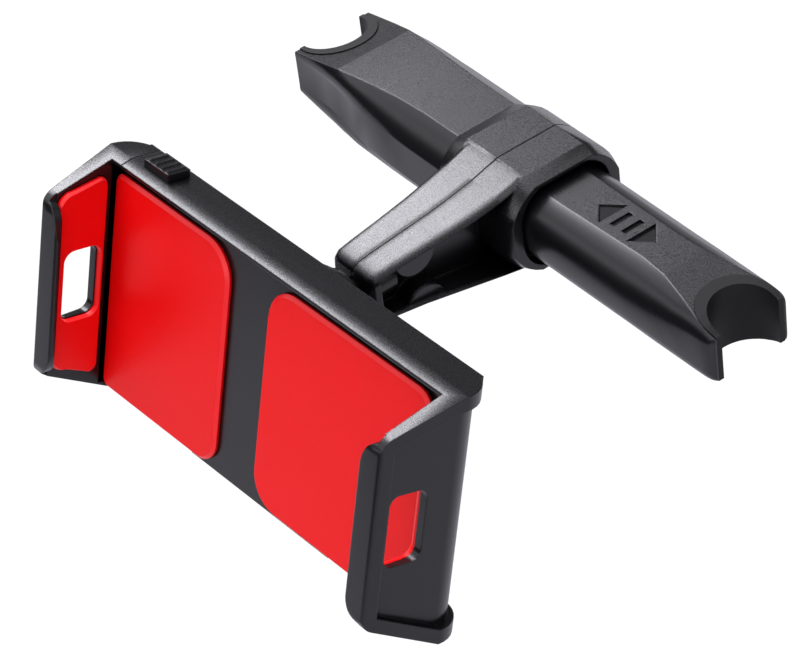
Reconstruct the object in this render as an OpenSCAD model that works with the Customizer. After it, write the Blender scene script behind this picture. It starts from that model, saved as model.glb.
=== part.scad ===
// Headrest tablet mount: a spring-loaded telescopic bar between two headrest posts,
// an arm with a ball joint, and a tablet holder whose left jaw pulls out.
// Origin: middle of the bar, on its axis. X along the bar, the holder faces -Y, Z up.

/* [Telescopic bar] */
// Half of the bar's length, tip to tip, at full length (mm)
bar_half = 93.6; // [90:0.2:98]
// How far the rod slides into the tube (mm)
rod_travel = 43; // [20:1:43]
// Inner radius of the rubber notch that takes a headrest post (mm)
post_r = 10.4; // [9.5:0.1:10.8]
// Gap between sliding plastic parts of the bar (mm)
slide_gap = 0.4; // [0.3:0.05:0.5]

/* [Collar and arm] */
// Half width of the gap at the seam between the two arm shells (mm)
seam_gap = 0.15; // [0.1:0.05:0.2]
// Distance from the bar's axis to the centre of the ball (mm)
ball_reach = 72; // [71.6:0.2:74]
// Radius of the ball (mm)
ball_r = 7.5; // [7.3:0.1:7.6]
// Wall left around the open pocket of the right shell (mm)
pocket_wall = 1.4; // [1.2:0.1:1.8]

/* [Holder] */
// Outer length of the closed holder (mm)
holder_len = 161.2; // [156:0.2:168]
// Outer height of the holder (mm)
holder_h = 78; // [76:0.5:82]
// Depth of the claws, from the back face to the claw fronts (mm)
claw_depth = 35.7; // [33:0.1:40]
// How far the left jaw pulls out (mm)
jaw_travel = 90; // [60:3:90]
// Lean of the holder's top towards the bar (degrees)
holder_tilt = 15.5; // [10:0.5:20]
// Turn of the holder about its own Y axis, seen in the photo (degrees)
holder_roll = -0.9; // [-3:0.1:3]
// Turn of the holder about Z, seen in the photo (degrees)
holder_yaw = 1.2; // [-3:0.1:3]
// Height of the ball socket above the middle of the holder (mm)
socket_rise = 21.6; // [18:0.2:21.6]

/* [Pads and latch] */
// Thickness of the red grip pads (mm)
pad_t = 2; // [1.6:0.1:2]
// Travel of the lock slider (mm)
lock_travel = 4; // [3:0.5:4]

/* [Hidden] */
$fn = 48;
arc_n = 5;
eps = 0.02;
far = 200;

BLACK = "#1b1c1e";
SOFT_BLACK = "#2a2b2d";
RED = "#e01b20";
STEEL = "#9a9da1";

// Bar sections: place along X, half width of the flat, its height,
// half width and half height of the upright side, bulge of the rounded shoulder
tube_end = 13;
TUBE = [[-bar_half, 13.9, 7.3, 14, 5.2, 0.1],
    [-bar_half + 7.6, 13.9, 8.9, 14, 5.2, 0.3],
    [-bar_half + 14.6, 13.8, 10.4, 14.2, 5.3, 0.6],
    [-bar_half + 21.6, 13.5, 11.9, 14.8, 5.4, 1.1],
    [-bar_half + 29.6, 12.8, 12.8, 16, 5.6, 1.5],
    [-bar_half + 37.6, 12, 13.5, 17.2, 5.8, 1.3],
    [-bar_half + 47.6, 11.1, 14.1, 17.9, 6, 1.2],
    [-bar_half + 59.6, 10.5, 14.4, 18.2, 6, 1.15],
    [tube_end, 10.1, 14.4, 18.2, 6, 1.15]];
rod_inner_end = -14.5;
ROD_SECTION = [7.4, 11.4, 15.6, 3.5, 1.7];
ROD = [concat([rod_inner_end], ROD_SECTION),
    concat([bar_half - 69.6], ROD_SECTION),
    [bar_half - 35.6, 6.7, 11.9, 15.6, 3.5, 1.7],
    [bar_half - 25.6, 7.5, 11.7, 15.3, 3.7, 1.6],
    [bar_half - 16.6, 9.4, 10.7, 14.8, 4.2, 1.2],
    [bar_half - 7.6, 11.7, 9.4, 14.3, 4.8, 0.6],
    [bar_half - 4, 12.4, 8.7, 14.2, 5, 0.4],
    [bar_half - 1.8, 12.8, 8, 13.9, 5, 0.3],
    [bar_half - 0.4, 12.8, 7.5, 13.4, 4.9, 0.2],
    [bar_half + 0.6, 12.5, 7.2, 12.8, 4.8, 0.1]];
CAVITY_SECTION = [8, 11.9 + slide_gap, 15.6 + slide_gap, 3.7, 1.75];
slide = min(rod_travel, bar_half - 50);
cavity_end = rod_inner_end - slide - 1;

// Post notch: the rubber face is a round of post_r, the seat behind it is wider
notch_x = bar_half - 1.1;
seat_r = post_r + 1.9;
seat_x = bar_half - 3.1;
liner_proud = 0.35;

// Spring inside the rod, on a steel guide pin
spring_bore_r = 7;
spring_bore_end = bar_half - 53.6;
guide_r = 3.5;
guide_tip = spring_bore_end - slide - 3;
spring_r = 5.6;
stop_x = 5;
stop_r = 1.5;

// Collar of the arm shells around the tube
COLLAR = [[-17.9, 10.4, 14.7, 18.8, 6, 1.2],
    [-13, 10.8, 16.5, 21.1, 5.6, 1.5],
    [12.2, 10.8, 16.5, 21.1, 5.6, 1.5],
    [16.5, 10.4, 14.9, 19.6, 5, 1.5]];
OPENING_SECTION = [9.2, 13.7, 16.1, 3.8, 1.8];

// Place along the arm in Y: what lies past y = 20 follows the distance to the ball
function reach(y) = y <= 20 ? -y : -20 - (y - 20) * (ball_reach - 28.2) / 43.8;

// Arm sections: place along Y, half width, top, bottom
ARM = [[-8, 13.2, 16.45, -16],
    [-11, 13.2, 16.2, -15.8],
    [-14, 13.2, 15.5, -15.5],
    [-20, 12.9, 13.8, -14.6],
    [reach(28), 12.4, 12.3, -13.3],
    [reach(36), 11.8, 11, -12],
    [reach(47), 10.9, 9.8, -10.4],
    [reach(57), 10.3, 8.7, -9.3],
    [reach(61.3), 10, 8.1, -8.8],
    [reach(63), 9.4, 7.2, -8],
    [reach(63.8), 8.4, 6, -7]];
arm_corner = 2.8;
arm_front = ball_reach - 8.2;
stud_collar_y = ball_reach - 13.5;
stud_end = ball_reach - 17.5;
stud_boss_r = 6;
web_x = 1.8;
BOSS_TOP = [reach(48), 7.9, 6.8];
BOSS_LOW = [reach(46), -12, 7];
SCREW_TOP = [reach(48), 4.4];
SCREW_LOW = [reach(46), -7.2];
boss_end = 8.6;
arm_screw_r = 1.4;

// Holder, in its own frame: X along it, Y = 0 on its back face, claws towards -Y
half_len = holder_len / 2;
half_h = holder_h / 2;
corner_r = 10;
wall = 2.2;
flat_depth = 10.2;
taper_top = 0.353;
taper_low = 0.452;
rim_y = 13.9;
plate_y = 10.2;
plate_t = 2.2;
back_t = 2;
claw_lean = 3.1;
lip_w = 8.5;
lip_t = 2.9;
mid_half = 32;
split_x = -half_len + 10.6;
claw_face = half_len - 6.1;
plate_left = -claw_face - 0.7;
slot_end = half_len - 3.7;
room_end = half_len - 8;
nose_r = 5.5;
recess = 2;
recess_border = 4.6;
socket_y = 9.2;
socket_up = min(socket_rise, half_h - 17.4);
cup_r = 10;
nut_r = 12.5;
nut_bore = cup_r + 0.1;

// Sliding tongue of the jaw, its rack and the latch
tongue_h = half_h - wall - 10.8;
tongue_right = half_len - 20.6;
tongue_y0 = 4.4;
tongue_y1 = 7.4;
lock_x = -half_len + 22.1;
rack_pitch = 3;
rack_left = lock_x - 1.8 - rack_pitch;
rack_teeth = floor(jaw_travel / rack_pitch) + 3;
tooth = 1.6;
lock_w = 11.4;
lock_y0 = 2.4;
lock_y1 = 10.2;
pawl_drop = 0.55;
pin_x = lock_x - 0.6;
pin_z = tongue_h + 6.2;
cam_len = lock_travel * norm([1, pawl_drop]);
spring_z = tongue_h - 9;
jaw_post_x = -34;
body_post_x = half_len - 12.6;
post_z = half_h - 7.6;
POSTS = [for (x = [-38, half_len - 16.6]) for (z = [-post_z, post_z]) [x, z]];
rib_y0 = 3.2;
rib_y1 = 8.2;
rib_t = 1.3;

// Shoulder of a bar section from the upright side to the flat, as a shallow arc
function shoulder(s, g) =
    let (yf = s[2] + g, zf = s[3] + g / 3, w = s[0] + g / 2, zt = s[1] + g,
        run = norm([w - yf, zt - zf]), ny = (zt - zf) / run, nz = (yf - w) / run)
    [for (i = [0:arc_n]) let (t = i / arc_n, b = 4 * s[4] * t * (1 - t))
        [yf + (w - yf) * t + b * ny, zf + (zt - zf) * t + b * nz]];

// Closed outline of a bar section in Y and Z
function bar_ring(s, g = 0) =
    let (q = shoulder(s, g), n = len(q))
    concat(q,
        [for (i = [n - 1:-1:0]) [-q[i][0], q[i][1]]],
        [for (i = [0:n - 1]) [-q[i][0], -q[i][1]]],
        [for (i = [n - 1:-1:0]) [q[i][0], -q[i][1]]]);

function tail(s) = [for (i = [1:5]) s[i]];

// Closed outline of an arm section in X and Z, with round corners
function arm_ring(hw, zt, zb, r) =
    [for (c = [[1, zt, 0], [-1, zt, 90], [-1, zb, 180], [1, zb, 270]]) for (k = [0:8])
        let (a = c[2] + k * 90 / 8, zc = c[1] == zt ? zt - r : zb + r)
        [c[0] * (hw - r) + r * cos(a), zc + r * sin(a)]];

// Skin over a row of closed rings with equal point counts
module skin(rings, flip = false) {
    m = len(rings);
    n = len(rings[0]);
    sides = [for (i = [0:m - 2]) for (j = [0:n - 1])
        let (a = i * n + j, b = (i + 1) * n + j, c = (i + 1) * n + (j + 1) % n, d = i * n + (j + 1) % n)
        each [[a, b, c], [a, c, d]]];
    caps = [[for (j = [0:n - 1]) j], [for (j = [n - 1:-1:0]) (m - 1) * n + j]];
    faces = concat(sides, caps);
    polyhedron([for (r = rings) each r],
        flip ? [for (f = faces) [for (i = [len(f) - 1:-1:0]) f[i]]] : faces, convexity = 8);
}

module bar_loft(stations, g = 0) {
    skin([for (s = stations) [for (p = bar_ring(tail(s), g)) [s[0], p[0], p[1]]]]);
}

// Straight length of one bar section between two places along X
module bar_prism(section, x0, x1) {
    skin([for (x = [x0, x1]) [for (p = bar_ring(section)) [x, p[0], p[1]]]]);
}

module arm_loft() {
    skin([for (s = ARM) [for (p = arm_ring(s[1], s[2], s[3], arm_corner)) [p[0], s[0], p[1]]]]);
}

// Round bar along X, along Y and upright tube helpers
module rod_x(x0, x1, r) {
    translate([x0, 0, 0]) rotate([0, 90, 0]) cylinder(h = x1 - x0, r = r);
}

module rod_y(y0, y1, r) {
    translate([0, y1, 0]) rotate([90, 0, 0]) cylinder(h = y1 - y0, r = r);
}

module cone_y(y0, y1, r0, r1) {
    translate([0, y1, 0]) rotate([90, 0, 0]) cylinder(h = y1 - y0, r1 = r1, r2 = r0);
}

// Helix of round wire along X, from x0 to x1
module coil_x(x0, x1, r, wire, turns, steps = 12, sides = 6) {
    total = turns * steps;
    skin([for (i = [0:total])
        let (a = 360 * i / steps, x = x0 + wire + (x1 - x0 - 2 * wire) * i / total)
        [for (k = [0:sides - 1]) let (b = 360 * k / sides)
            [x + wire * sin(b), (r + wire * cos(b)) * cos(a), (r + wire * cos(b)) * sin(a)]]], true);
}

module holder_frame() {
    translate([0, -ball_reach, 0]) rotate([-holder_tilt, holder_roll, holder_yaw])
        translate([0, -socket_y, -socket_up]) children();
}

module socket_axis() {
    translate([0, 0, socket_up]) children();
}

/* Bar */

module notch_seat(side) {
    translate([side * seat_x, 0, -20]) cylinder(h = 40, r = seat_r, $fn = 64);
    translate([side * (seat_x + 10), 0, 0]) cube([20, 2 * seat_r - 0.5, 40], center = true);
}

module notch_round(side) {
    translate([side * notch_x, 0, -20]) cylinder(h = 40, r = post_r, $fn = 64);
    translate([side * (notch_x + 10), 0, 0]) cube([20, 2 * post_r - 0.6, 40], center = true);
}

module left_tube() {
    color(BLACK) difference() {
        bar_loft(TUBE);
        bar_prism(CAVITY_SECTION, cavity_end, tube_end + 1);
        notch_seat(-1);
        rod_x(cavity_end - 8, cavity_end + 1, guide_r + 0.02);
        translate([stop_x, 0, -16]) cylinder(h = 6, r = stop_r + 0.05);
    }
}

module arrow_icon() {
    icon_z = 11;
    icon_x = bar_half - 49.9;
    for (side = [-1, 1]) {
        translate([icon_x + side * 5.9, 0, icon_z]) linear_extrude(3)
            polygon([[side * 6.2, 0], [0, side * 5.4], [0, -side * 5.4]]);
        translate([icon_x + side * 2.4, 0, icon_z + 1.5]) cube([1.9, 7, 3], center = true);
    }
}

module right_rod() {
    color(BLACK) difference() {
        bar_loft(ROD);
        notch_seat(1);
        rod_x(rod_inner_end - 1, spring_bore_end, spring_bore_r);
        translate([stop_x - stop_r - 0.4, -stop_r - 0.4, -14])
            cube([slide + 2 * stop_r + 0.8, 2 * stop_r + 0.8, 4.6]);
        arrow_icon();
    }
}

module post_liner(side, stations) {
    color(SOFT_BLACK) difference() {
        intersection() {
            bar_loft(stations, liner_proud);
            union() {
                translate([side * seat_x, 0, -20]) cylinder(h = 40, r = seat_r - eps, $fn = 64);
                translate([side * (seat_x + 5), 0, 0])
                    cube([10, 2 * seat_r - 0.5 - 2 * eps, 40], center = true);
            }
        }
        notch_round(side);
    }
}

module post_liner_left() {
    post_liner(-1, TUBE);
}

module post_liner_right() {
    post_liner(1, ROD);
}

module rod_spring() {
    color(STEEL) coil_x(cavity_end + 0.1, spring_bore_end - 0.1, spring_r, 0.6, 13);
}

module spring_guide() {
    color(STEEL) union() {
        rod_x(cavity_end - 8, guide_tip - 1, guide_r);
        translate([guide_tip - 1, 0, 0]) rotate([0, 90, 0])
            cylinder(h = 1, r1 = guide_r, r2 = guide_r - 1);
    }
}

module stop_screw() {
    color(STEEL) translate([stop_x, 0, 0]) difference() {
        union() {
            translate([0, 0, -15.6]) cylinder(h = 6, r = stop_r);
            translate([0, 0, -16.4]) cylinder(h = 0.85, r = 2.6);
        }
        translate([0, 0, -16.5]) cylinder(h = 0.5, r = 1.1, $fn = 6);
    }
}

/* Collar and arm */

module arm_outer() {
    union() {
        arm_loft();
        bar_loft(COLLAR);
    }
}

// What the collar holds: the tube, the rod's opening and the stop screw
module collar_bores() {
    bar_prism([10.2, 14.5, 18.3, 6, 1.15], -19, tube_end + 0.1);
    bar_prism(OPENING_SECTION, tube_end, 18);
    translate([stop_x, 0, -20]) cylinder(h = 8, r = stop_r + 0.05);
    translate([stop_x, 0, -20]) cylinder(h = 4.5, r = 2.8);
}

// Seat of the ball stud in the front of the arm
module stud_seat() {
    rod_y(-arm_front - 1, -stud_end + 0.3, 3.55);
    rod_y(-stud_collar_y - 0.05, -stud_collar_y + 2.55, 4.65);
}

module along_x(p) {
    translate([0, p[0], p[1]]) rotate([0, 90, 0]) children();
}

// Row of [y, z] points inside the arm's side outline, by the given wall
function arm_side(m, y0, y1) =
    concat([for (s = ARM) if (s[0] <= y0 && s[0] >= y1) [s[0], s[2] - m]],
        [for (i = [len(ARM) - 1:-1:0]) if (ARM[i][0] <= y0 && ARM[i][0] >= y1) [ARM[i][0], ARM[i][3] + m]]);

module side_slab(m, y0, y1, x0, x1) {
    translate([x0, 0, 0]) rotate([90, 0, 90]) linear_extrude(x1 - x0) polygon(arm_side(m, y0, y1));
}

module right_pocket() {
    difference() {
        side_slab(pocket_wall, -8, reach(61.3), web_x, 16);
        rod_y(-arm_front, -stud_end + 1.5, stud_boss_r);
        for (b = [BOSS_TOP, BOSS_LOW])
            translate([0, b[0], b[1]]) rotate([0, 90, 0]) cylinder(h = boss_end, r = b[2]);
    }
}

module arm_shell_right() {
    color(BLACK) difference() {
        union() {
            difference() {
                arm_loft();
                right_pocket();
            }
            bar_loft(COLLAR);
        }
        translate([seam_gap - far, -far / 2, -far / 2]) cube(far);
        collar_bores();
        stud_seat();
        for (p = [SCREW_TOP, SCREW_LOW]) along_x(p) cylinder(h = 7.4, r = arm_screw_r + eps);
    }
}

module left_cavity() {
    difference() {
        side_slab(2.2, -20, reach(47), -9, 0.5);
        for (p = [SCREW_TOP, SCREW_LOW])
            translate([-14, 0, 0]) along_x(p) cylinder(h = 16, r = 3.6);
    }
}

module arm_shell_left() {
    color(BLACK) difference() {
        union() {
            arm_loft();
            bar_loft(COLLAR);
        }
        translate([-seam_gap, -far / 2, -far / 2]) cube(far);
        left_cavity();
        collar_bores();
        stud_seat();
        for (p = [SCREW_TOP, SCREW_LOW]) {
            translate([-16, 0, 0]) along_x(p) cylinder(h = 17, r = arm_screw_r + 0.1);
            translate([-16, 0, 0]) along_x(p) cylinder(h = 16 - 8.2, r = 2.9);
        }
    }
}

// Pan-head screw along X, head towards -X
module arm_screw(p) {
    along_x(p) difference() {
        union() {
            translate([0, 0, -8.5]) cylinder(h = 15.5, r = arm_screw_r);
            translate([0, 0, -9.8]) cylinder(h = 1.6, r = 2.7);
        }
        for (a = [0, 90]) rotate([0, 0, a]) translate([0, 0, -9.6]) cube([3.4, 0.7, 1.2], center = true);
    }
}

module arm_screws() {
    color(STEEL) union() {
        arm_screw(SCREW_TOP);
        arm_screw(SCREW_LOW);
    }
}

/* Ball joint */

module ball_stud() {
    color(SOFT_BLACK) union() {
        translate([0, -ball_reach, 0]) sphere(r = ball_r, $fn = 64);
        rod_y(-ball_reach + 3, -stud_end, 3.5);
        rod_y(-stud_collar_y, -stud_collar_y + 2.5, 4.6);
    }
}

// Spherical shell around the ball, in the holder's frame, between two planes
module ball_shell(r0, r1, y0, y1) {
    translate([0, socket_y, 0]) intersection() {
        difference() {
            sphere(r = r1, $fn = 64);
            sphere(r = r0, $fn = 64);
        }
        rod_y(y0, y1, 12);
    }
}

module seat_liner() {
    color(STEEL) holder_frame() socket_axis() ball_shell(ball_r + 0.05, ball_r + 1, -8.2, -5.2);
}

module pressure_ring() {
    color(SOFT_BLACK) holder_frame() socket_axis() ball_shell(ball_r + 0.05, ball_r + 1, 0.3, 2.5);
}

module ball_socket() {
    bolt_r = 12.4;
    color(BLACK) holder_frame() socket_axis() difference() {
        union() {
            rod_y(0.02, 2, 15);
            rod_y(1, 9.6, cup_r);
            cone_y(9.6, socket_y + 3, cup_r, 9);
        }
        translate([0, socket_y, 0]) sphere(r = ball_r + 1.05, $fn = 64);
        rod_y(-1, 3, 5);
        for (a = [0:90:270]) rotate([0, a + 45, 0]) translate([9, 9, 0]) cube([8, 8, 1.2], center = true);
        for (a = [0:90:270]) rotate([0, a, 0]) translate([bolt_r, 0, 0]) rod_y(-1, 1.7, 1.02);
    }
}

module lock_nut() {
    color(BLACK) holder_frame() socket_axis() difference() {
        union() {
            rod_y(2.3, 5.6, nut_r);
            cone_y(5.6, 8.6, nut_r, 10.9);
        }
        rod_y(1, 10, nut_bore);
        for (a = [0:30:330]) rotate([0, a, 0]) translate([nut_r + 0.9, 0, 0]) rod_y(2, 9, 1.6);
    }
}

module socket_screws() {
    color(STEEL) holder_frame() socket_axis()
        for (a = [0:90:270]) rotate([0, a, 0]) translate([12.4, 0, 0]) difference() {
            union() {
                rod_y(-2.5, 1.6, 1);
                rod_y(-3.4, -2.02, 1.9);
            }
            translate([0, -3.3, 0]) cube([2.4, 0.9, 0.5], center = true);
        }
}

/* Holder */

function arc_pts(cx, cy, r, a0, a1, n = 8) =
    [for (i = [0:n]) let (a = a0 + (a1 - a0) * i / n) [cx + r * cos(a), cy + r * sin(a)]];

// Side outline in Y and Z: deep at the back, tapering to the claw fronts with round noses
nose_top = half_h - (claw_depth - flat_depth) * taper_top;
nose_low = -half_h + (claw_depth - flat_depth) * taper_low;
SIDE = concat([[0, half_h], [-flat_depth, half_h]],
    arc_pts(-claw_depth + nose_r, nose_top - nose_r * 0.72, nose_r, 109.4, 180, 6),
    arc_pts(-claw_depth + nose_r, nose_low + nose_r * 0.64, nose_r, 180, 245.7, 6),
    [[-flat_depth, -half_h], [0, -half_h]]);

// Outer outline of one end in X and Y, mirrored for the other
OUT_END = concat(arc_pts(half_len - corner_r, -corner_r, corner_r, 90, 0, 8),
    arc_pts(half_len - claw_lean - 1.2, -claw_depth + 1.2, 1.2, -6, -90, 3));

// Inner outline of a claw from its front lip back to its root
IN_END = concat(arc_pts(half_len - claw_lean - lip_w + 1, -claw_depth + 1, 1, 270, 180, 3),
    [[half_len - claw_lean - lip_w + 0.1, -claw_depth + 1.8],
    [half_len - claw_lean - lip_w + 1.6, -claw_depth + lip_t - 0.2],
    [claw_face, -claw_depth + lip_t]]);

module end_plan() {
    polygon(concat([[mid_half - 2, 0]], OUT_END, IN_END, [[claw_face, -rim_y], [claw_face, -plate_y + 0.2],
        [mid_half - 2, -plate_y + 0.2]]));
}

module tapered() {
    rotate([90, 0, 90]) linear_extrude(holder_len + 80, center = true) polygon(SIDE);
}

// Space behind the rim where the pads lie, open to the front
module rim_space(x0, x1) {
    translate([x0, -rim_y - 1, -half_h - 1]) cube([x1 - x0, rim_y + 1 - plate_y, holder_h - wall + 0.8]);
}

// Rounds off the inner corners of a claw's front lip, above and below
module lip_corners() {
    lip_x = half_len - claw_lean - lip_w;
    end_x = claw_face + 0.5;
    for (c = [[nose_top - 14, 13], [nose_low + 10.5, -10]])
        translate([0, -claw_depth + lip_t + 0.5, 0]) rotate([90, 0, 0]) linear_extrude(lip_t + 2)
            polygon(concat([for (a = [0:10:90]) [end_x - (end_x - lip_x) * cos(a), c[0] + c[1] * sin(a)]],
                [[end_x, c[0] + 2 * c[1]], [lip_x - 2, c[0] + 2 * c[1]], [lip_x - 2, c[0]]]));
}

// Whole C-shaped outer form of the holder, both ends alike
module holder_form() {
    difference() {
        intersection() {
            union() {
                for (m = [0, 1]) mirror([m, 0, 0])
                    translate([0, 0, -half_h]) linear_extrude(holder_h) end_plan();
                translate([-mid_half, -rim_y, -half_h]) cube([2 * mid_half, rim_y, holder_h]);
                translate([-claw_face, -rim_y, half_h - wall - 3]) cube([2 * claw_face, rim_y, wall + 3]);
            }
            tapered();
        }
        for (m = [0, 1]) mirror([m, 0, 0]) lip_corners();
    }
}

// Room inside the body between two depths, closed above and below by the walls
module body_room(x0, x1, front, back) {
    translate([x0, -front, -half_h + wall]) cube([x1 - x0, front - back, holder_h - 2 * wall]);
}

// Shallow recess in a claw's outer side, with a border along its edges
module side_recess() {
    m = recess_border;
    pts = [[5, half_h - m], [-flat_depth, half_h - m],
        [-claw_depth + m, nose_top - m + m * taper_top],
        [-claw_depth + m, nose_low + m - m * taper_low],
        [-flat_depth, -half_h + m], [5, -half_h + m]];
    difference() {
        translate([half_len - 12, 0, 0]) rotate([90, 0, 90]) linear_extrude(20) polygon(pts);
        translate([0, 0, -half_h - 1]) linear_extrude(holder_h + 2)
            polygon(concat([[0, 3]], arc_pts(half_len - corner_r - recess, -corner_r, corner_r - 0.6, 90, 0, 8),
                [[half_len - claw_lean - recess, -claw_depth - 1], [0, -claw_depth - 1]]));
    }
}

window_w = claw_depth - 23.9;
window_y = 17.5 + window_w / 2;
window_z = 0.2;
module claw_window(grow = 0) {
    w = window_w + 2 * grow;
    h = 22.4 + 2 * grow;
    r = min(3, window_w / 3.5) + grow;
    translate([half_len - 20, -window_y, window_z]) rotate([90, 0, 90]) linear_extrude(30) union() {
        square([w - 2 * r, h], center = true);
        square([w, h - 2 * r], center = true);
        for (sx = [-1, 1]) for (sz = [-1, 1])
            translate([sx * (w / 2 - r), sz * (h / 2 - r)]) circle(r = r, $fn = 24);
    }
}

// Everything to the left of the parting line belongs to the jaw, with the whole claw in front
module jaw_side(grow) {
    translate([-far, -far / 2, -far / 2]) cube([far + split_x + grow, far, far]);
    translate([-far, -far, -far / 2]) cube([far - mid_half, far - rim_y - 0.5, far]);
}

module lock_slot() {
    translate([lock_x - 3.1, -5.6, half_h - wall - 1]) cube([4.2 + lock_travel, 2.6, wall + 2]);
}

module holder_front() {
    color(BLACK) holder_frame() difference() {
        union() {
            difference() {
                holder_form();
                rim_space(-claw_face - 0.1, claw_face);
                body_room(-90, room_end, plate_y - plate_t, back_t);
                jaw_side(0.15);
                side_recess();
                claw_window();
            }
            translate([plate_left, -plate_y, -half_h + wall + 0.3])
                cube([10, plate_t, holder_h - 2 * wall - 0.6]);
            for (p = POSTS) translate([p[0], 0, p[1]]) rod_y(-plate_y + 1, -back_t, 3.2);
            translate([jaw_post_x, -rib_y1, tongue_h + 0.35])
                cube([tongue_right - jaw_post_x, rib_y1 - rib_y0, rib_t]);
            translate([split_x + 4, -rib_y1, -tongue_h - 0.35 - rib_t])
                cube([tongue_right - split_x - 4, rib_y1 - rib_y0, rib_t]);
            for (z = [-spring_z, spring_z]) translate([body_post_x, 0, z]) rod_y(-plate_y + 1, -3, 1.6);
            for (x = [lock_x - 5.9, lock_x + 4.4]) translate([x, -8.2, tongue_h + 1.6]) cube([1.5, 2.5, 8]);
        }
        translate([-half_len, -back_t, -half_h + 1.1]) cube([holder_len - 10, back_t + 1, holder_h - 2.2]);
        for (p = POSTS) translate([p[0], 0, p[1]]) rod_y(-8.5, 1, 1.22);
        lock_slot();
    }
}

module holder_back() {
    color(BLACK) holder_frame() difference() {
        translate([split_x + 0.2, -back_t, -half_h + 1.15])
            cube([half_len - 10.05 - split_x - 0.2, back_t, holder_h - 2.3]);
        for (p = POSTS) translate([p[0], 0, p[1]]) {
            rod_y(-3, 1, 1.35);
            rod_y(-1, 1, 2.55);
        }
        socket_axis() {
            for (a = [0:90:270]) rotate([0, a, 0]) translate([12.4, 0, 0]) rod_y(-3, 1, 1.02);
            rod_y(-3, 1, 6);
        }
    }
}

module cover_screws() {
    color(STEEL) holder_frame() for (p = POSTS) translate([p[0], 0, p[1]]) difference() {
        union() {
            rod_y(-8, -1, 1.2);
            rod_y(-1, -0.2, 2.4);
        }
        for (a = [0, 90]) rotate([0, a, 0]) translate([0, -0.2, 0]) cube([2.8, 0.9, 0.6], center = true);
    }
}

module tongue_slab(x0, x1, z0, z1) {
    translate([x0, -tongue_y1, z0]) cube([x1 - x0, tongue_y1 - tongue_y0, z1 - z0]);
}

module tooth_row() {
    translate([rack_left, -tongue_y1, tongue_h - tooth]) rotate([90, 0, 0]) mirror([0, 0, 1])
        linear_extrude(tongue_y1 - tongue_y0)
            polygon(concat([[0, -1]],
                [for (i = [0:rack_teeth - 1]) each [[i * rack_pitch, tooth], [i * rack_pitch + 1, tooth],
                    [i * rack_pitch + 1.3, 0], [i * rack_pitch + 2.7, 0]]],
                [[rack_teeth * rack_pitch, tooth], [rack_teeth * rack_pitch, -1]]));
}

module jaw() {
    color(BLACK) holder_frame() {
        union() {
            difference() {
                intersection() {
                    holder_form();
                    jaw_side(-0.15);
                }
                rim_space(-claw_face, 0);
                body_room(-slot_end, 0, rim_y - 0.3, plate_y - plate_t);
                body_room(-room_end, 0, plate_y - plate_t + eps, back_t);
                mirror([1, 0, 0]) side_recess();
                mirror([1, 0, 0]) claw_window();
            }
            difference() {
                union() {
                    tongue_slab(-slot_end, tongue_right, -tongue_h, tongue_h - tooth);
                    tongue_slab(-slot_end, rack_left, 0, tongue_h);
                    tongue_slab(rack_left + rack_teeth * rack_pitch, tongue_right, 0, tongue_h);
                    tooth_row();
                }
                for (z = [-spring_z, spring_z])
                    translate([jaw_post_x - 4, -9, z - 3.2]) cube([tongue_right - jaw_post_x + 8, 6, 6.4]);
            }
            for (z = [-spring_z, spring_z]) translate([jaw_post_x, 0, z])
                translate([-4.2, -tongue_y1, -0.9]) cube([4.2, tongue_y1 - tongue_y0, 1.8]);
            for (z = [-spring_z, spring_z]) translate([jaw_post_x, 0, z]) rod_y(-tongue_y1, -tongue_y0, 1.5);
        }
    }
}

// Tension spring between the jaw's peg and the body's peg
module jaw_spring(z) {
    color(STEEL) holder_frame() translate([0, -(tongue_y0 + tongue_y1) / 2, z])
        coil_x(jaw_post_x + 2.2, body_post_x - 2.2, 1.5, 0.35, 20, 8, 4);
}

module jaw_spring_top() {
    jaw_spring(spring_z);
}

module jaw_spring_bottom() {
    jaw_spring(-spring_z);
}

/* Pads */

// Rounded pad outline in X and Z with its own radius at each corner
module pad_shape(x0, x1, z0, z1, r) {
    polygon(concat(arc_pts(x1 - r[0], z1 - r[0], r[0], 0, 90, 6), arc_pts(x0 + r[1], z1 - r[1], r[1], 90, 180, 6),
        arc_pts(x0 + r[2], z0 + r[2], r[2], 180, 270, 6), arc_pts(x1 - r[3], z0 + r[3], r[3], 270, 360, 6)));
}

module back_pad(x0, x1, r) {
    c = 0.9;
    pad_z0 = -half_h + 1.2;
    pad_z1 = half_h - 6;
    color(RED) holder_frame() translate([0, -plate_y - eps, 0]) rotate([90, 0, 0]) hull() {
        linear_extrude(pad_t - c) pad_shape(x0, x1, pad_z0, pad_z1, r);
        linear_extrude(pad_t - eps)
            pad_shape(x0 + c, x1 - c, pad_z0 + c, pad_z1 - c, [for (v = r) max(v - c, 0.5)]);
    }
}

module back_pad_left() {
    back_pad(-claw_face - 0.5, -20, [11, 3, 3, 8]);
}

module back_pad_right() {
    back_pad(-2, half_len - 12.1, [6, 11, 11, 5]);
}

// Outline of a claw's pad in Y and Z, tapering to the front, shrunk by m
module claw_pad_shape(m) {
    rear = -rim_y - 1.9 - m;
    front = -claw_depth + lip_t + 0.2 + m;
    polygon(concat(arc_pts(rear - 2.5, half_h - 8.3 - m, 2.5, 0, 90, 5),
        arc_pts(front + 5, half_h - 12.9 - m, 5, 90, 180, 8),
        arc_pts(front + 6, -half_h + 17.1 + m, 6, 180, 270, 8),
        arc_pts(rear - 2.5, -half_h + 10.6 + m, 2.5, 270, 360, 5)));
}

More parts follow.
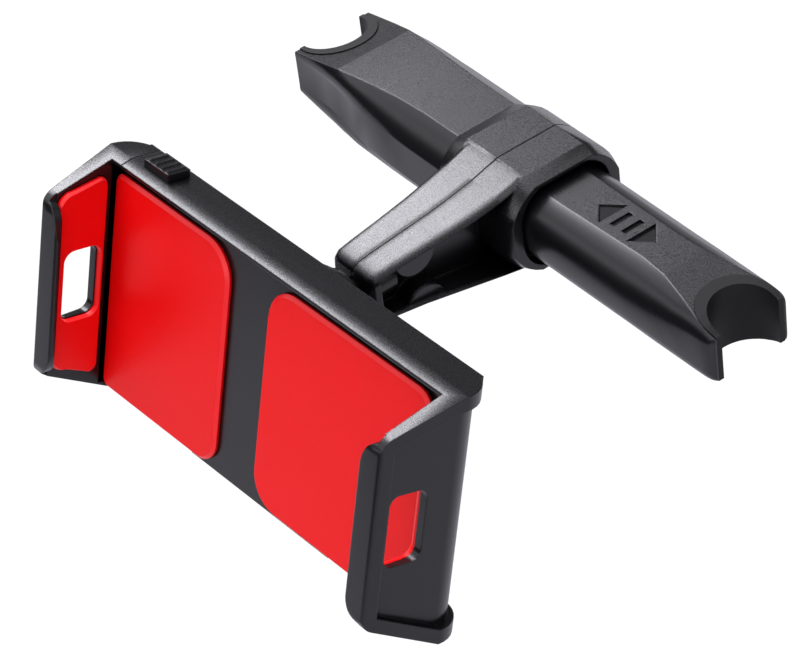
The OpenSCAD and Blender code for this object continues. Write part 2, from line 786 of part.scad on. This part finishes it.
// Pad on a claw's inner face, with the claw's window through it
module claw_pad() {
    c = 0.8;
    difference() {
        translate([claw_face - eps, 0, 0]) rotate([90, 0, 90]) hull() {
            translate([0, 0, c - pad_t]) linear_extrude(pad_t - c) claw_pad_shape(0);
            translate([0, 0, eps - pad_t]) linear_extrude(pad_t - eps) claw_pad_shape(c);
        }
        claw_window(0.3);
    }
}

module claw_pad_right() {
    color(RED) holder_frame() claw_pad();
}

module claw_pad_left() {
    color(RED) holder_frame() mirror([1, 0, 0]) claw_pad();
}

/* Latch */

module lock_slider() {
    cap_h = 2.4;
    color(BLACK) holder_frame() difference() {
        union() {
            translate([lock_x - lock_w / 2, -lock_y1, half_h + 0.1])
                cube([lock_w, lock_y1 - lock_y0, cap_h]);
            for (i = [-1.5:1:1.5]) translate([lock_x + i * 2.8, -lock_y1 + 0.6, half_h + cap_h])
                rotate([-90, 0, 0]) cylinder(h = lock_y1 - lock_y0 - 1.2, r = 0.55, $fn = 16);
            translate([lock_x - 2.8, -5.4, pin_z - 2.8]) cube([3.6, 2.2, half_h - pin_z + 3.5]);
            translate([lock_x - 7.4, -5.4, pin_z - 4.6]) cube([9.9, 2.2, 7.4]);
        }
        translate([pin_x, 0, pin_z]) rotate([0, -atan(pawl_drop), 0]) union() {
            for (x = [0, -cam_len]) translate([x, 0, 0]) rod_y(-7, -2, 1.1);
            translate([-cam_len, -7, -1.1]) cube([cam_len, 5, 2.2]);
        }
    }
}

module latch_pawl() {
    color(STEEL) holder_frame() union() {
        translate([lock_x - 4, -7.6, tongue_h + 2.6]) cube([8, 2, 6.6]);
        translate([pin_x, 0, pin_z]) rod_y(-6, -3.3, 1);
        translate([0, -5.6, 0]) rotate([90, 0, 0]) linear_extrude(2)
            polygon([[lock_x - 0.35, tongue_h + 2.8], [lock_x + 0.75, tongue_h + 2.8],
                [lock_x + 0.6, tongue_h + 0.9], [lock_x - 0.2, tongue_h + 0.9]]);
    }
}

left_tube();
right_rod();
post_liner_left();
post_liner_right();
rod_spring();
spring_guide();
stop_screw();
arm_shell_left();
arm_shell_right();
arm_screws();
ball_stud();
seat_liner();
pressure_ring();
ball_socket();
lock_nut();
socket_screws();
holder_front();
holder_back();
cover_screws();
jaw();
jaw_spring_top();
jaw_spring_bottom();
back_pad_left();
back_pad_right();
claw_pad_left();
claw_pad_right();
lock_slider();
latch_pawl();
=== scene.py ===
"""Headrest tablet mount: telescopic bar, arm, ball joint and tablet holder with red grip pads."""
import math

import bmesh
import bpy
from mathutils import Matrix, Vector


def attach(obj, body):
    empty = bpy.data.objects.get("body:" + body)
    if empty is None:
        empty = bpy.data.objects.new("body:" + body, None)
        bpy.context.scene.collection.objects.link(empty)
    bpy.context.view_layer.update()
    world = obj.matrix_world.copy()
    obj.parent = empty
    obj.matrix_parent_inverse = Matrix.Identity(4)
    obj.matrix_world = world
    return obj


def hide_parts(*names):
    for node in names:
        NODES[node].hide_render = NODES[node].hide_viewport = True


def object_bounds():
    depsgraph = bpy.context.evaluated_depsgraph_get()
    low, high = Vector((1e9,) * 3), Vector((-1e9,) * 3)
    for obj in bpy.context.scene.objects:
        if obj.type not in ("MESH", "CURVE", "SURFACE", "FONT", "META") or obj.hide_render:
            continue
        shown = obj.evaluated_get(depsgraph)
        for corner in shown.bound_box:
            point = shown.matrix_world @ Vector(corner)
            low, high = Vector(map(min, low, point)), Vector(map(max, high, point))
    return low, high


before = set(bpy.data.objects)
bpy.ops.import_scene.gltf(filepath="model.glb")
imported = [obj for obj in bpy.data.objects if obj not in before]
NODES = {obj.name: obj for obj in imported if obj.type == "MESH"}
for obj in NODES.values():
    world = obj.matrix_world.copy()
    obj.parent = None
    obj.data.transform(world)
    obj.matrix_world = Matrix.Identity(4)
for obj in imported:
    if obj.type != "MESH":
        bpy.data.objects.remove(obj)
CAD_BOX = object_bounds()
MM = 0.001

# Camera fitted to the photograph
CAMERA_PLACE = Vector((0.6974, -0.5005, 0.6715))
CAMERA_RIGHT = Vector((0.6110, 0.7849, -0.1031))
CAMERA_BACK = Vector((0.6440, -0.4169, 0.6414))
LENS_MM = 169.4
SENSOR_MM = 36.0

# The holder's own frame, as in the solids: ball centre and socket in millimetres, turns in degrees
BALL_CENTRE = Vector((0, -72, 0))
SOCKET_PLACE = Vector((0, 9.2, 21.6))
HOLDER_TILT, HOLDER_ROLL, HOLDER_YAW = -15.5, -0.9, 1.2


def turned(degrees, axis):
    """The turn by an angle about one axis."""
    return Matrix.Rotation(math.radians(degrees), 3, axis)


HOLDER_TURN = turned(HOLDER_YAW, "Z") @ turned(HOLDER_ROLL, "Y") @ turned(HOLDER_TILT, "X")


def holder_point(p):
    """A point of the holder's own frame in millimetres, as a place in the scene in metres."""
    return (BALL_CENTRE + HOLDER_TURN @ (Vector(p) - SOCKET_PLACE)) * MM


def make_camera():
    """The camera that took the photograph."""
    data = bpy.data.cameras.new("camera")
    camera = bpy.data.objects.new("camera", data)
    bpy.context.scene.collection.objects.link(camera)
    back = CAMERA_BACK.normalized()
    right = (CAMERA_RIGHT - back * CAMERA_RIGHT.dot(back)).normalized()
    up = back.cross(right)
    turn = Matrix((right, up, back)).transposed()
    camera.matrix_world = Matrix.Translation(CAMERA_PLACE) @ turn.to_4x4()
    data.lens = LENS_MM
    data.sensor_width = SENSOR_MM
    data.sensor_fit = "HORIZONTAL"
    data.clip_start = 0.01
    data.clip_end = 20
    bpy.context.scene.camera = camera


# Studio light by direction: spans along x, y and z with their soft edges, and the radiance
PANELS = (
    ("key", (-1.2, -0.30, 0.15), (-0.02, 0.35, 0.05), (0.50, 0.95, 0.08), 10.2),
    ("band", (-1.2, -0.30, 0.15), (0.26, 0.35, 0.03), (0.45, 0.72, 0.04), 15.0),
    ("lead", (-1.2, -0.30, 0.15), (-0.45, 0.05, 0.12), (0.20, 0.85, 0.10), 1.3),
    ("top", (-0.35, 0.90, 0.15), (-0.50, 0.60, 0.15), (0.75, 1.20, 0.10), 1.6),
    ("front", (-0.35, 0.60, 0.15), (-1.20, -0.60, 0.15), (0.00, 0.60, 0.10), 2.1),
    ("edge", (-1.2, -0.35, 0.15), (-0.85, -0.45, 0.08), (0.32, 0.60, 0.08), 1.2),
    ("rim", (-1.2, -0.20, 0.15), (0.45, 1.20, 0.08), (-0.80, 0.05, 0.15), 1.3),
    ("side", (0.55, 1.20, 0.15), (-0.80, 0.60, 0.20), (-0.10, 0.80, 0.15), 0.9),
)
# The dim walls: radiance at the horizon and high up, and the height up to which it rises
WALL_LOW, WALL_HIGH = 0.03, 0.20
WALL_RISE = 0.6
LIGHT_TINT = (0.975, 0.965, 1.03, 1)
WHITE = (1, 1, 1, 1)


def make_world():
    """Dark studio with soft panels of light by direction, and plain white for the camera."""
    world = bpy.data.worlds.new("studio")
    bpy.context.scene.world = world
    world.use_nodes = True
    nodes, links = world.node_tree.nodes, world.node_tree.links
    nodes.clear()

    def math_node(operation, a, b):
        made = nodes.new("ShaderNodeMath")
        made.operation = operation
        for socket, value in zip(made.inputs, (a, b)):
            if isinstance(value, (int, float)):
                socket.default_value = value
            else:
                links.new(value, socket)
        return made.outputs[0]

    def ramp(source, low, high, start=0.0, end=1.0):
        made = nodes.new("ShaderNodeMapRange")
        made.interpolation_type = "SMOOTHSTEP"
        for key, value in (("From Min", low), ("From Max", high), ("To Min", start), ("To Max", end)):
            made.inputs[key].default_value = value
        links.new(source, made.inputs["Value"])
        return made.outputs["Result"]

    place = nodes.new("ShaderNodeTexCoord")
    split = nodes.new("ShaderNodeSeparateXYZ")
    links.new(place.outputs["Generated"], split.inputs["Vector"])
    total = ramp(split.outputs["Z"], 0.0, WALL_RISE, WALL_LOW, WALL_HIGH)
    for _, *spans, strength in PANELS:
        share = strength
        for axis, (low, high, soft) in zip("XYZ", spans):
            along = split.outputs[axis]
            share = math_node("MULTIPLY", share, ramp(along, low - soft, low + soft))
            share = math_node("MULTIPLY", share, ramp(along, high - soft, high + soft, 1.0, 0.0))
        total = math_node("ADD", total, share)
    light = nodes.new("ShaderNodeBackground")
    light.inputs["Color"].default_value = LIGHT_TINT
    links.new(total, light.inputs["Strength"])
    seen = nodes.new("ShaderNodeBackground")
    seen.inputs["Color"].default_value = WHITE
    seen.inputs["Strength"].default_value = 1.0
    path = nodes.new("ShaderNodeLightPath")
    mix = nodes.new("ShaderNodeMixShader")
    out = nodes.new("ShaderNodeOutputWorld")
    links.new(path.outputs["Is Camera Ray"], mix.inputs["Fac"])
    links.new(light.outputs["Background"], mix.inputs[1])
    links.new(seen.outputs["Background"], mix.inputs[2])
    links.new(mix.outputs["Shader"], out.inputs["Surface"])


# Scales of the noise, and the heights that it gives to rubber and steel
GRAIN_SCALE, PLASTIC_CLOUDS = 3600, 45
GRAIN_SPAN = (0.3, 0.7)
RUBBER_GRAIN, RUBBER_CLOUDS, RUBBER_GRAIN_MM = 1800, 60, 0.003
BRUSH_SCALE, BRUSH_MM = 900, 0.004
# Painted shade in hollows: how far a hollow is felt, the share of colour and shine left deep inside, and
# the span of the occlusion over which it grows
HOLLOW_REACH_MM, HOLLOW_SHADE_SHARE = 14, 0.03
HOLLOW_SPAN = (0.15, 0.75)
# Radius to which each material softens its edges
EDGE_SOFT_MM, ARM_SOFT_MM, RUBBER_SOFT_MM, STEEL_SOFT_MM = 0.6, 2.6, 0.2, 0.08
# Rays with which a material feels its hollows and edges
NODE_SAMPLES = 4
# Specular level of plastic as a share of its shine
GLOSS_SHARE = 0.5

STEEL_DARK, STEEL_LIGHT = (0.5, 0.5, 0.51), (0.64, 0.64, 0.65)
STEEL_ROUGHNESS = (0.22, 0.38)


class Maker:
    """Small helper that adds and joins shader nodes of one material."""

    def __init__(self, name):
        self.material = bpy.data.materials.new(name)
        self.material.use_nodes = True
        self.tree = self.material.node_tree
        self.shader = self.tree.nodes["Principled BSDF"]

    def node(self, kind, **sockets):
        made = self.tree.nodes.new(kind)
        for key, value in sockets.items():
            made.inputs[key.replace("_", " ")].default_value = value
        return made

    def link(self, a, b):
        self.tree.links.new(a, b)

    def noise(self, scale, detail=2.0):
        place = self.tree.nodes.new("ShaderNodeTexCoord")
        made = self.node("ShaderNodeTexNoise", Scale=scale, Detail=detail)
        self.link(place.outputs["Object"], made.inputs["Vector"])
        return made.outputs["Fac"]

    def ramp(self, source, low, high, span=(0.0, 1.0)):
        made = self.tree.nodes.new("ShaderNodeMapRange")
        made.inputs["To Min"].default_value = low
        made.inputs["To Max"].default_value = high
        made.inputs["From Min"].default_value = span[0]
        made.inputs["From Max"].default_value = span[1]
        self.link(source, made.inputs["Value"])
        return made.outputs["Result"]

    def times(self, a, b):
        made = self.tree.nodes.new("ShaderNodeMath")
        made.operation = "MULTIPLY"
        self.link(a, made.inputs[0])
        self.link(b, made.inputs[1])
        return made.outputs[0]

    def painted_hollow_shade(self):
        """Painted shade from the ambient occlusion: one in the open, down to a small share deep inside a
        hollow.
        """
        made = self.node("ShaderNodeAmbientOcclusion", Distance=HOLLOW_REACH_MM * MM)
        made.samples = NODE_SAMPLES
        return self.ramp(made.outputs["AO"], HOLLOW_SHADE_SHARE, 1.0, HOLLOW_SPAN)

    def tint(self, source, dark, light):
        made = self.tree.nodes.new("ShaderNodeMix")
        made.data_type = "RGBA"
        made.inputs["A"].default_value = (*dark, 1)
        made.inputs["B"].default_value = (*light, 1)
        self.link(source, made.inputs["Factor"])
        return made.outputs["Result"]

    def bump(self, source, height_mm, soften_mm):
        """Small height over edges that are softened to a radius."""
        made = self.node("ShaderNodeBump", Strength=1.0, Distance=height_mm * MM)
        self.link(source, made.inputs["Height"])
        edge = self.node("ShaderNodeBevel", Radius=soften_mm * MM)
        edge.samples = NODE_SAMPLES
        self.link(edge.outputs["Normal"], made.inputs["Normal"])
        self.link(made.outputs["Normal"], self.shader.inputs["Normal"])


def moulded_plastic(name, dark, light, grain_mm, roughness, shine, soften_mm=EDGE_SOFT_MM):
    """Dark moulded plastic with a fine spark-eroded grain that glints under the lights, and painted shade
    that darkens its colour and shine in hollows.
    """
    m = Maker(name)
    grain = m.noise(GRAIN_SCALE, 1.0)
    cloud = m.noise(PLASTIC_CLOUDS)
    # Painted shade: the occlusion darkens the base colour and the shine in hollows
    clear = m.painted_hollow_shade()
    tone_grain_and_shade = m.node("ShaderNodeMix")
    tone_grain_and_shade.data_type = "RGBA"
    tone_grain_and_shade.blend_type = "MULTIPLY"
    tone_grain_and_shade.inputs["Factor"].default_value = 1.0
    m.link(m.tint(cloud, dark, light), tone_grain_and_shade.inputs["A"])
    m.link(m.times(clear, m.ramp(grain, *shine, GRAIN_SPAN)), tone_grain_and_shade.inputs["B"])
    m.link(tone_grain_and_shade.outputs["Result"], m.shader.inputs["Base Color"])
    gloss = [GLOSS_SHARE * share for share in shine]
    m.link(m.times(clear, m.ramp(grain, *gloss, GRAIN_SPAN)), m.shader.inputs["Specular IOR Level"])
    m.link(m.ramp(grain, *roughness), m.shader.inputs["Roughness"])
    m.bump(grain, grain_mm, soften_mm)
    return m.material


def smooth_rubber(name, dark, light, roughness, shine):
    """Rubber with an even colour and a fine skin."""
    m = Maker(name)
    m.shader.inputs["Specular IOR Level"].default_value = shine
    cloud = m.noise(RUBBER_CLOUDS)
    fine = m.noise(RUBBER_GRAIN)
    m.link(m.tint(cloud, dark, light), m.shader.inputs["Base Color"])
    m.link(m.ramp(cloud, *roughness), m.shader.inputs["Roughness"])
    m.bump(fine, RUBBER_GRAIN_MM, RUBBER_SOFT_MM)
    return m.material


def bright_steel(name):
    """Brushed steel."""
    m = Maker(name)
    brush = m.noise(BRUSH_SCALE, 3.0)
    m.shader.inputs["Metallic"].default_value = 1.0
    m.link(m.tint(brush, STEEL_DARK, STEEL_LIGHT), m.shader.inputs["Base Color"])
    m.link(m.ramp(brush, *STEEL_ROUGHNESS), m.shader.inputs["Roughness"])
    m.bump(brush, BRUSH_MM, STEEL_SOFT_MM)
    return m.material


# Each look: dark and light tone, the grain's height in millimetres on plastic, roughness and shine
GRAIN = ((0.0035, 0.0035, 0.004), (0.0055, 0.0055, 0.0065), 0.02, (0.25, 0.31), (0.55, 1.5))
GRAIN_PLASTIC = moulded_plastic("grained_plastic", *GRAIN)
SOFT_GRAIN = moulded_plastic("soft_grain", *GRAIN, ARM_SOFT_MM)
BLACK_PLASTIC = moulded_plastic("satin_plastic", (0.0035, 0.0037, 0.0045), (0.0048, 0.005, 0.006), 0.003,
                                (0.24, 0.28), (0.95, 1.1))
GLOSS_BLACK = moulded_plastic("gloss_black", (0.007, 0.007, 0.008), (0.010, 0.010, 0.011), 0.002,
                              (0.2, 0.26), (0.95, 1.05))
SUNK_BLACK = moulded_plastic("sunk_black", (0.002, 0.002, 0.002), (0.003, 0.003, 0.003), 0.002,
                             (0.4, 0.45), (0.22, 0.3))
LINER_RUBBER = smooth_rubber("liner_rubber", (0.004, 0.004, 0.004), (0.007, 0.007, 0.007), (0.45, 0.52),
                             0.22)
RED_RUBBER = smooth_rubber("red_rubber", (0.82, 0.0004, 0.0008), (0.86, 0.0008, 0.0015), (0.38, 0.46), 0.26)
# A lighter red for the pads' chamfers: a painted highlight where the light catches them
RED_PAINTED_HIGHLIGHT = smooth_rubber("red_rubber_painted_highlight", (0.93, 0.012, 0.015), (0.96, 0.016, 0.02), (0.34, 0.42), 0.4)
STEEL = bright_steel("bright_steel")

NODE_LOOK = {
    "left_tube": BLACK_PLASTIC, "right_rod": BLACK_PLASTIC,
    "post_liner_left": LINER_RUBBER, "post_liner_right": LINER_RUBBER,
    "rod_spring": STEEL, "spring_guide": STEEL, "stop_screw": STEEL,
    "arm_shell_left": BLACK_PLASTIC, "arm_shell_right": BLACK_PLASTIC, "arm_screws": STEEL,
    "ball_stud": GLOSS_BLACK, "seat_liner": STEEL, "pressure_ring": GLOSS_BLACK,
    "ball_socket": GLOSS_BLACK, "lock_nut": BLACK_PLASTIC, "socket_screws": STEEL,
    "holder_front": BLACK_PLASTIC, "holder_back": BLACK_PLASTIC, "cover_screws": STEEL,
    "jaw": BLACK_PLASTIC, "jaw_spring_top": STEEL, "jaw_spring_bottom": STEEL,
    "lock_slider": BLACK_PLASTIC, "latch_pawl": STEEL,
}
# Nodes that keep their own smooth shading
FINE_NODES = ("rod_spring", "jaw_spring_top", "jaw_spring_bottom", "seat_liner", "pressure_ring",
              "ball_stud")
BAR_NODES = ("left_tube", "right_rod")
ARM_NODES = ("arm_shell_left", "arm_shell_right")

# The floor of the rod's arrow: middle along x, half length, height and how far that may differ
ARROW_X, ARROW_HALF, ARROW_Z, ARROW_OFF = 43.7 * MM, 13 * MM, 11 * MM, 0.1 * MM
# Where the arm leaves the collar
ARM_FRONT_Y = -21 * MM

# Crease angles in degrees: plain parts, lofted parts, beside a level face, along an upright side
CREASE, LOFT_CREASE, TOP_CREASE, SIDE_CREASE = 29, 15, 5, 40
# Parts of a face's normal: least z and most y of a level face, most x of an upright one
LEVEL_Z, LEVEL_Y, UPRIGHT_X = 0.98, 0.03, 0.5
# Least z of a normal where the mould is grained, and on the arrow's floor
BAR_UP, ARM_UP, HOLDER_UP, ARROW_UP = 0.965, 0.5, 0.86, 0.99

# Material slots of a black part after its first
GRAIN_SLOT, SUNK_SLOT, SOFT_SLOT = 1, 2, 3

# How close points count as one, and facets as one flat face
KEY_STEP = 0.01 * MM
JOIN_WITHIN = 0.004 * MM
FLAT_WITHIN = math.radians(0.6)
# How much the large faces lead the smooth shading, out of 100
EVEN_WEIGHT = 80


def edge_key(mesh, pair):
    """One key for all the edges that lie in the same place."""
    return frozenset(tuple(round(v / KEY_STEP) for v in mesh.vertices[i].co) for i in pair)


def mark_edges(name, mesh):
    """Marks the edges with a clear angle between their faces as crisp."""
    faces = {}
    for face in mesh.polygons:
        for pair in face.edge_keys:
            faces.setdefault(edge_key(mesh, pair), []).append(face.normal.copy())
    sharp = mesh.attributes.get("sharp_edge") or mesh.attributes.new("sharp_edge", "BOOLEAN", "EDGE")
    for edge in mesh.edges:
        sides = faces.get(edge_key(mesh, edge.vertices), [])
        if len(sides) < 2:
            continue
        turn = max(a.angle(b, 0.0) for a in sides for b in sides)
        least = CREASE
        if name in BAR_NODES + ARM_NODES:
            level = any(abs(n.z) > LEVEL_Z and abs(n.y) < LEVEL_Y for n in sides)
            upright = all(abs(n.x) < UPRIGHT_X for n in sides) and not level
            least = LOFT_CREASE
            if level and name in BAR_NODES:
                least = TOP_CREASE
            elif upright and name != "left_tube":
                least = SIDE_CREASE
        sharp.data[edge.index].value = turn > math.radians(least)


def grained(name, face):
    """Whether a face looks up far enough to be grained."""
    least = HOLDER_UP
    if name in BAR_NODES:
        least = BAR_UP
    elif name in ARM_NODES:
        least = ARM_UP
    return face.normal.z > least


def in_arrow(name, face):
    """Whether a face is the sunk floor of the rod's arrow."""
    level = abs(face.center.z - ARROW_Z) < ARROW_OFF and face.normal.z > ARROW_UP
    return name == "right_rod" and level and abs(face.center.x - ARROW_X) < ARROW_HALF


def dress(name, look):
    """Gives a CAD node its materials, joins its split facets and keeps its edges crisp."""
    node = NODES[name]
    mesh = node.data
    mesh.materials.clear()
    mesh.materials.append(look)
    if name in FINE_NODES:
        return
    if look == BLACK_PLASTIC:
        for more in (GRAIN_PLASTIC, SUNK_BLACK, SOFT_GRAIN):
            mesh.materials.append(more)
    if "custom_normal" in mesh.attributes:
        mesh.attributes.remove(mesh.attributes["custom_normal"])
    mark_edges(name, mesh)
    for face in mesh.polygons:
        face.use_smooth = True
        if look != BLACK_PLASTIC:
            continue
        face.material_index = GRAIN_SLOT if grained(name, face) else 0
        if name in ARM_NODES and face.material_index and face.center.y < ARM_FRONT_Y:
            face.material_index = SOFT_SLOT
        if in_arrow(name, face):
            face.material_index = SUNK_SLOT
    weld = node.modifiers.new("join", "WELD")
    weld.merge_threshold = JOIN_WITHIN
    if name in BAR_NODES:
        return
    flat = node.modifiers.new("flat", "DECIMATE")
    flat.decimate_type = "DISSOLVE"
    flat.angle_limit = FLAT_WITHIN
    flat.delimit = {"MATERIAL", "SHARP"}
    even = node.modifiers.new("even", "WEIGHTED_NORMAL")
    even.weight = EVEN_WEIGHT
    even.keep_sharp = True


# The red pads in millimetres of the holder's frame
BACK_LOW, BACK_HIGH = -37.8, 33.0
# Ends of a back pad along x, and its radii from the upper right corner on
BACK_LEFT = (-75, -20, (11, 3, 3, 8))
BACK_RIGHT = (-2, 68.5, (6, 11, 11, 5))
LEAST_ROUND = 0.4
# Ends of a claw's pad, and its corners: the end that they touch, height, radius and first angle
CLAW_REAR, CLAW_FRONT = -15.8, -32.6
CLAW_CORNERS = (
    ("rear", 30.7, 2.5, 0),
    ("front", 26.1, 5, 90),
    ("front", -21.9, 6, 180),
    ("rear", -28.4, 2.5, 270),
)
# Window of a claw's pad: middle, half sizes and radius of its corners
WINDOW_Y, WINDOW_Z = -23.4, 0.2
WINDOW_HALF_Y, WINDOW_HALF_Z, WINDOW_ROUND = 6.2, 11.5, 3.3
# Faces that carry the pads, and the share of its full height that a pad stands off them
BACK_FACE_Y, CLAW_FACE_X = -10.22, 74.48
HEIGHT_SHARE = 0.99


def arc(x, y, r, start, steps=8):
    """Points of a quarter circle from its first angle in degrees."""
    turns = [math.radians(start + 90 * i / steps) for i in range(steps + 1)]
    return [(x + r * math.cos(a), y + r * math.sin(a)) for a in turns]


def rounded(x0, x1, y0, y1, radii):
    """Outline of a rectangle with a radius for each corner, from the upper right on."""
    a, b, c, d = radii
    return (arc(x1 - a, y1 - a, a, 0) + arc(x0 + b, y1 - b, b, 90)
            + arc(x0 + c, y0 + c, c, 180) + arc(x1 - d, y0 + d, d, 270))


def back_outline(x0, x1, radii):
    """Outline of a back pad in the holder's x and z, as a function of how far it is drawn in."""

    def drawn_in(m):
        rounds = [max(v - m, LEAST_ROUND) for v in radii]
        return rounded(x0 + m, x1 - m, BACK_LOW + m, BACK_HIGH - m, rounds)
    return drawn_in


def claw_outline(m):
    """Outline of a claw's pad in the holder's y and z, drawn in by m."""
    ring = []
    for end, z, r, start in CLAW_CORNERS:
        y = CLAW_REAR - m - r if end == "rear" else CLAW_FRONT + m + r
        ring += arc(y, z - m if z > 0 else z + m, r, start)
    return ring


def window_outline(m):
    """Outline of a claw's window in the holder's y and z, widened by m."""
    half_y, half_z = WINDOW_HALF_Y + m, WINDOW_HALF_Z + m
    return rounded(WINDOW_Y - half_y, WINDOW_Y + half_y, WINDOW_Z - half_z, WINDOW_Z + half_z,
                   [WINDOW_ROUND + m] * 4)


# Rings of a pad from its foot to its face: how far drawn in, and how far off the carrier
PAD_RINGS = ((0.25, 0.0), (0.0, 0.25), (0.0, 1.0), (1.05, 1.95), (1.3, 2.0))
# The step between two rings that makes the chamfer, which takes the lighter red of a painted highlight
CHAMFER_STEP = 2
# How far a claw's pad and its window draw in, as shares of the rings' way
CLAW_DRAW, WINDOW_DRAW = 0.45, 0.3


def make_pad(name, body, outline, place, draw=1.0, window=None):
    """A firm rubber pad with a chamfered edge, and a chamfered window where it has one; the chamfers take a
    lighter red as a painted highlight.
    """
    mesh = bpy.data.meshes.new(name)
    shape = bmesh.new()
    rims = []
    for outer in (True, False) if window else (True,):
        rows = []
        for inset, height in PAD_RINGS:
            ring = outline(inset * draw) if outer else window(inset * WINDOW_DRAW)
            rows.append([shape.verts.new(holder_point(place(u, v, height))) for u, v in ring])
        count = len(rows[0])
        for step, (low, high) in enumerate(zip(rows, rows[1:])):
            for i in range(count):
                j = (i + 1) % count
                face = shape.faces.new((low[i], low[j], high[j], high[i]))
                face.smooth = True
                # The chamfer's faces take the lighter red of the painted highlight
                face.material_index = int(step == CHAMFER_STEP)
        for row in rows[CHAMFER_STEP:CHAMFER_STEP + 2]:
            for a, b in zip(row, row[1:] + row[:1]):
                shape.edges.get((a, b)).smooth = False
        rims.append((rows[0], rows[-1]))
    for end in (0, 1):
        edges = []
        for rim in rims:
            loop = rim[end]
            edges += [shape.edges.get((a, b)) for a, b in zip(loop, loop[1:] + loop[:1])]
        bmesh.ops.triangle_fill(shape, use_beauty=True, edges=edges)
    bmesh.ops.recalc_face_normals(shape, faces=shape.faces)
    shape.to_mesh(mesh)
    shape.free()
    pad = bpy.data.objects.new("rubber_" + name, mesh)
    bpy.context.scene.collection.objects.link(pad)
    mesh.materials.append(RED_RUBBER)
    mesh.materials.append(RED_PAINTED_HIGHLIGHT)
    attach(pad, body)
    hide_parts(name)


def make_pads():
    """The four red pads, each in place of its plain solid."""

    def on_back(x, z, h):
        return x, BACK_FACE_Y - HEIGHT_SHARE * h, z

    def on_right_claw(y, z, h):
        return CLAW_FACE_X - HEIGHT_SHARE * h, y, z

    def on_left_claw(y, z, h):
        return HEIGHT_SHARE * h - CLAW_FACE_X, y, z

    for name, span in (("back_pad_left", BACK_LEFT), ("back_pad_right", BACK_RIGHT)):
        make_pad(name, "holder", back_outline(*span), on_back)
    for name, body, place in (("claw_pad_left", "jaw_body", on_left_claw),
                              ("claw_pad_right", "holder", on_right_claw)):
        make_pad(name, body, claw_outline, place, CLAW_DRAW, window_outline)


# The floor in metres: half width, drop below the object, and the reach over which its painted shade under
# the object gives way to its pale colour
FLOOR_HALF, FLOOR_DROP = 0.55, 0.12
FLOOR_SHADE_REACH = (0.03, 0.18)
# Dark near the middle is painted shade under the object; pale farther out is the floor's own colour
FLOOR_PAINTED_SHADE, FLOOR_FAR = (0.05, 0.05, 0.05), (0.42, 0.42, 0.44)
FLOOR_GLOW, FLOOR_GLOW_SHARE = 1.06, 0.94
FLOOR_CORNERS = ((-1, -1), (1, -1), (1, 1), (-1, 1))


def make_floor():
    """Pale floor, white to the camera, that keeps a little of the object's shadow, and has painted shade
    darkening it under the object.
    """
    height = CAD_BOX[0].z - FLOOR_DROP
    mesh = bpy.data.meshes.new("floor")
    points = [(x * FLOOR_HALF, y * FLOOR_HALF, height) for x, y in FLOOR_CORNERS]
    mesh.from_pydata(points, [], [(0, 1, 2, 3)])
    floor = bpy.data.objects.new("floor", mesh)
    bpy.context.scene.collection.objects.link(floor)
    m = Maker("floor_with_painted_shade")
    nodes = m.tree.nodes
    m.shader.inputs["Roughness"].default_value = 0.9
    m.shader.inputs["Specular IOR Level"].default_value = 0.0
    place = nodes.new("ShaderNodeTexCoord")
    reach = nodes.new("ShaderNodeVectorMath")
    reach.operation = "LENGTH"
    m.link(place.outputs["Object"], reach.inputs[0])
    past_painted_shade = m.ramp(reach.outputs["Value"], 0.0, 1.0, FLOOR_SHADE_REACH)
    m.link(m.tint(past_painted_shade, FLOOR_PAINTED_SHADE, FLOOR_FAR), m.shader.inputs["Base Color"])
    glow = m.node("ShaderNodeEmission", Color=WHITE, Strength=FLOOR_GLOW)
    path = nodes.new("ShaderNodeLightPath")
    share = nodes.new("ShaderNodeMath")
    share.operation = "MULTIPLY"
    share.inputs[1].default_value = FLOOR_GLOW_SHARE
    mix = nodes.new("ShaderNodeMixShader")
    m.link(path.outputs["Is Camera Ray"], share.inputs[0])
    m.link(share.outputs[0], mix.inputs["Fac"])
    m.link(m.shader.outputs["BSDF"], mix.inputs[1])
    m.link(glow.outputs["Emission"], mix.inputs[2])
    m.link(mix.outputs["Shader"], nodes["Material Output"].inputs["Surface"])
    mesh.materials.append(m.material)


make_camera()
make_world()
make_floor()
for node_name, node_look in NODE_LOOK.items():
    dress(node_name, node_look)
make_pads()

bpy.context.scene.view_settings.view_transform = "Standard"
